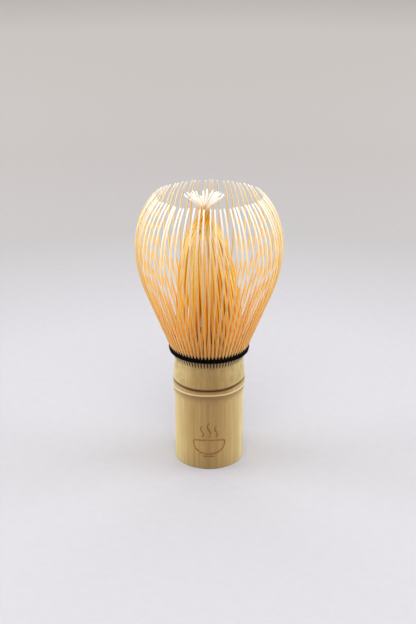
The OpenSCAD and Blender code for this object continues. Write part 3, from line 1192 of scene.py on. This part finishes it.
@dataclass
class Binding:
    """The cotton thread: two turns outside, one woven inside, loops and a knot.

    A turn's lift and dip are how far it rises and sinks in between two tines.
    """

    finish: bpy.types.Material
    turn_h: float = 0.96
    turn_t: float = 0.66
    turn_nest: float = 0.85
    lower_z: float = 47.2
    lower_r: float = 15.42
    lower_dip: float = 0.1
    upper_r: float = 15.62
    upper_lift: float = 0.25
    upper_dip: float = 0.12
    weave_r: float = 13.75
    plies: int = 3
    lays: int = 34
    ply_depth: float = 0.2
    loop_r: float = 15.5
    loop_z: float = 48.85
    loop_h: float = 1.45
    loop_foot_r: float = 0.62
    loop_top_r: float = 0.26
    loop_flat: tuple[float, float] = (0.8, 0.9)
    loop_lean: float = 21.8
    knot_tilt: float = 35.0
    knot_roll: float = 60.0
    knot_ring_share: float = 0.3
    knot_cord_share: float = 0.17

    def ring(self, r: float, cord_r: float, sides: int, steps: int, z: float = 0.0) -> bmesh.types.BMesh:
        """A plain ring of thread round the axis.

        Args:
            r: The ring's radius.
            cord_r: The thread's own radius.
            sides: Faces round the thread.
            steps: Faces round the ring.
            z: The ring's height.

        Returns:
            A new mesh.
        """
        bm = bmesh.new()
        bmesh.ops.create_circle(bm, radius=cord_r, segments=sides,
                                matrix=Matrix.Translation((r, 0, z)) @ Matrix.Rotation(math.pi / 2, 4, "X"))
        spin_round(bm, steps, 0.0005)
        return bm

    def turn(self, name: str, node_name: str, r: float, z: float, lift: float,
             dip: float) -> bpy.types.Object:
        """Lays one twisted turn round the roots.

        Args:
            name: The piece's name.
            node_name: The CAD node that it replaces.
            r: The turn's radius at a tine.
            z: Its height at a tine.
            lift: How far it rises between two tines.
            dip: How far it sinks in between two tines.

        Returns:
            The turn's object.
        """
        bm = self.ring(r, self.turn_h / 2, 12, TINES * 8, z)
        for vert in bm.verts:
            far, azimuth = polar(vert.co)
            around = math.atan2(vert.co.z - z, far - r)
            between = (1 - math.cos(math.radians(azimuth * TINES))) / 2
            strand = self.plies * (around - math.radians(azimuth) * self.lays)
            ridge = 1 - self.ply_depth * (1 - abs(math.cos(strand / 2)))
            out = r - dip * between + math.cos(around) * ridge * self.turn_t / 2
            up = z + lift * between + math.sin(around) * ridge * self.turn_h / 2
            vert.co = radial(azimuth) * out + UP * up
        piece = Piece(name, "cotton_thread", [self.finish], [node_name], soft_edge=80.0)
        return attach(piece.finish(bm), HANDLE_BODY)

    def loops(self) -> bpy.types.Object:
        """The loops that stand up as small teeth, one between each two tines."""
        bm = bmesh.new()
        lean = Matrix.Rotation(math.radians(self.loop_lean), 4, "Y")
        flat = Matrix.Diagonal((*self.loop_flat, 1, 1))
        for i in range(TINES):
            turn = Matrix.Rotation(math.radians((i + 0.5) * PITCH), 4, "Z")
            seat = turn @ Matrix.Translation((self.loop_r, 0, self.loop_z)) @ lean
            bmesh.ops.create_cone(bm, cap_ends=True, segments=8, radius1=self.loop_foot_r,
                                  radius2=self.loop_top_r, depth=self.loop_h, matrix=seat @ flat)
        piece = Piece("binding_loops", "cotton_thread", [self.finish], ["thread_loops"], 60.0)
        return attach(piece.finish(bm), HANDLE_BODY)

    def knot(self) -> bpy.types.Object:
        """The knot at the back: two small rings of thread, pulled through each other."""
        low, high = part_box("thread_knot")
        middle = (low + high) / 2 / MM
        size = (high.z - low.z) / MM
        bm = bmesh.new()
        for tilt in (self.knot_tilt, -self.knot_tilt):
            ring = self.ring(size * self.knot_ring_share, size * self.knot_cord_share, 8, 20)
            place = (Matrix.Translation(middle) @ Matrix.Rotation(math.radians(tilt), 4, "Y")
                     @ Matrix.Rotation(math.radians(self.knot_roll), 4, "X"))
            bmesh.ops.transform(ring, matrix=place, verts=ring.verts)
            part = bpy.data.meshes.new("knot_ring")
            ring.to_mesh(part)
            ring.free()
            bm.from_mesh(part)
            bpy.data.meshes.remove(part)
        piece = Piece("binding_knot", "cotton_thread", [self.finish], ["thread_knot"], 60.0)
        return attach(piece.finish(bm), HANDLE_BODY)

    def build(self) -> list[bpy.types.Object]:
        """Builds the whole binding.

        Returns:
            The pieces.
        """
        upper_z = self.lower_z + self.turn_h * self.turn_nest
        return [
            self.turn("binding_lower_turn", "thread_lower_turn", self.lower_r, self.lower_z, 0.0,
                      self.lower_dip),
            self.turn("binding_upper_turn", "thread_upper_turn", self.upper_r, upper_z, self.upper_lift,
                      self.upper_dip),
            self.turn("binding_weave", "thread_weave", self.weave_r, upper_z, 0.0, 0.0),
            self.loops(), self.knot()]


# ---------------------------------------------------------------------------
# The mark on the grip


@dataclass
class BowlMark:
    """A plain tea bowl under three curls of steam, drawn with a hot wire.

    Each curl of steam has its place across and its height.
    """

    finish: bpy.types.Material
    brim_z: float = 12.4
    bowl_w: float = 13.0
    bowl_h: float = 5.6
    brim_h: float = 0.55
    foot_w: float = 2.3
    foot_drop: float = 1.0
    steam_gap: float = 2.0
    steam_curl: float = 0.6
    steam: tuple[tuple[float, float], ...] = ((-2.8, 4.6), (0.0, 6.0), (2.8, 4.6))
    line_w: float = 0.5
    proud: float = 0.035
    line_t: float = 0.06

    def strokes(self) -> list[list[Vector]]:
        """The drawing, as lines of (across, height) points on the grip."""
        half = self.bowl_w / 2
        curve = [math.pi * i / 20 for i in range(21)]
        bowl = [Vector((half * math.cos(a), self.brim_z - self.bowl_h * math.sin(a) ** 0.8)) for a in curve]
        once_round = [math.tau * i / 28 for i in range(29)]
        brim = [Vector((half * math.cos(a), self.brim_z + self.brim_h * math.sin(a))) for a in once_round]
        foot_z = self.brim_z - self.bowl_h - self.foot_drop
        foot = [Vector((self.foot_w * share, foot_z)) for share in (-1, -0.5, 0, 0.5, 1)]
        curls = [[Vector((across + self.steam_curl * math.sin(math.tau * i / 16),
                          self.brim_z + self.steam_gap + tall * i / 16)) for i in range(17)]
                 for across, tall in self.steam]
        return [bowl, brim, foot, *curls]

    def draw(self, bm: bmesh.types.BMesh, line: list[Vector]) -> None:
        """Draws one line as a flat strip.

        Args:
            bm: The mesh, flat across and up.
            line: The line's points.
        """
        edge = None
        for i, here in enumerate(line):
            ahead = line[min(i + 1, len(line) - 1)] - line[max(i - 1, 0)]
            side = Vector((-ahead.y, ahead.x)).normalized() * self.line_w / 2
            ends = [here - side, here + side]
            if edge is None:
                edge = bm.edges.new([bm.verts.new((p.x, 0, p.y)) for p in ends])
                continue
            grown = bmesh.ops.extrude_edge_only(bm, edges=[edge])["geom"]
            pair = [v for v in grown if isinstance(v, bmesh.types.BMVert)]
            edge = bm.edges.get(pair)
            # A new vertex starts on the step before, and moves to the nearer end of this one
            for vert in pair:
                before = Vector((vert.co.x, vert.co.z))
                nearest = min(ends, key=lambda p: (p - before).length)
                vert.co = (nearest.x, 0, nearest.y)

    def build(self) -> bpy.types.Object:
        """Builds the mark as a skin-thin inlay on the front of the grip.

        Returns:
            The mark's object.
        """
        bm = bmesh.new()
        for line in self.strokes():
            self.draw(bm, line)
        r = GRIP_R + self.proud
        for vert in bm.verts:
            angle = vert.co.x / GRIP_R
            vert.co = (r * math.sin(angle), -r * math.cos(angle), vert.co.z)
        bmesh.ops.recalc_face_normals(bm, faces=bm.faces)
        bm.normal_update()
        inward = [f for f in bm.faces if f.normal.y > 0]
        bmesh.ops.reverse_faces(bm, faces=inward)
        bmesh.ops.solidify(bm, geom=bm.faces[:], thickness=-self.line_t)
        bmesh.ops.recalc_face_normals(bm, faces=bm.faces)
        piece = Piece("scorched_mark", "bamboo_skin", [self.finish])
        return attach(piece.finish(bm), HANDLE_BODY)


# ---------------------------------------------------------------------------
# The studio


@dataclass(frozen=True)
class SoftBox:
    """A soft box that faces the whisk: its place and size in millimetres, its watts and its tint."""

    name: str
    at: tuple[float, float, float]
    size: tuple[float, float]
    watts: float
    tint: str

    def hang(self, target: Vector) -> None:
        """Hangs the box so that it faces the target."""
        light = bpy.data.lights.new(self.name, "AREA")
        light.shape = "RECTANGLE"
        light.size, light.size_y = self.size[0] * MM, self.size[1] * MM
        light.energy = self.watts
        light.color = linear(self.tint)[:3]
        made = bpy.data.objects.new(self.name, light)
        made.location = Vector(self.at) * MM
        made.rotation_euler = (target - Vector(self.at)).to_track_quat("-Z", "Y").to_euler()
        bpy.context.scene.collection.objects.link(made)


@dataclass
class Studio:
    """The board, the soft lights and the camera."""

    camera_at: tuple[float, float, float] = (-0.4, -402.2, 220.1)
    camera_down: float = 21.44
    lens: float = 63.76
    sensor_mm: float = 36.0
    board_mm: float = 3000.0
    room_tint: str = "F0E8DE"
    room_strength: float = 0.33
    target: Vector = Vector((0.0, 0.0, 60.0))
    boxes: tuple[SoftBox, ...] = (
        SoftBox("top_box", (0, -300, 1500), (1200, 1200), 14.7, "FFFEFC"),
        SoftBox("front_card", (0, -800, 1000), (600, 400), 5.2, "FFF8EC"),
        SoftBox("back_box", (0, 1900, 2000), (3000, 1600), 27.0, "FFFEFC"),
        SoftBox("left_box", (-1050, 100, 400), (900, 640), 10.9, "F6F9FF"),
        SoftBox("right_box", (1050, 100, 400), (900, 640), 10.3, "F6F9FF"))

    def board(self) -> None:
        """Lays the board that the whisk stands on."""
        bm = bmesh.new()
        bmesh.ops.create_grid(bm, x_segments=8, y_segments=8, size=self.board_mm)
        to_object("board", bm, [PaleBoard().make()])

    def camera(self) -> None:
        """Sets the camera where the whisk is seen from slightly above."""
        data = bpy.data.cameras.new("camera")
        data.lens = self.lens
        data.sensor_width = self.sensor_mm
        made = bpy.data.objects.new("camera", data)
        made.location = Vector(self.camera_at) * MM
        made.rotation_euler = (math.radians(90 - self.camera_down), 0, 0)
        bpy.context.scene.collection.objects.link(made)
        bpy.context.scene.camera = made

    def build(self) -> None:
        """Builds the studio."""
        self.camera()
        self.board()
        for box in self.boxes:
            box.hang(self.target)
        scene = bpy.context.scene
        world = bpy.data.worlds.new("room")
        scene.world = world
        world.use_nodes = True
        room = world.node_tree.nodes["Background"]
        room.inputs["Color"].default_value = linear(self.room_tint)
        room.inputs["Strength"].default_value = self.room_strength
        scene.view_settings.view_transform = "Standard"


def main() -> None:
    """Builds the studio, then the whisk from the culm outwards, and reports each piece."""
    logging.basicConfig(level=logging.INFO, format="%(message)s")
    Studio().build()
    culm = Culm()
    skin = CulmSkin(culm.scar_z, culm.node_z).make()
    handle = culm.build(skin, CutCulm().make())
    LOG.info("%s: %d faces", handle.name, len(handle.data.polygons))
    cage = OuterCage(SplitBamboo(TineRing.OUTER).make()).build()
    inner_bamboo = SplitBamboo(TineRing.INNER, glow_mm=1.6, sheen=0.12, tones=(0.92, 1.08))
    bundle = InnerBundle(inner_bamboo.make()).build()
    binding = Binding(CottonThread().make()).build()
    mark = BowlMark(Scorch().make()).build()
    for piece in [*cage, *bundle, *binding, mark]:
        LOG.info("%s: %d faces", piece.name, len(piece.data.polygons))


if __name__ == "__main__":
    main()
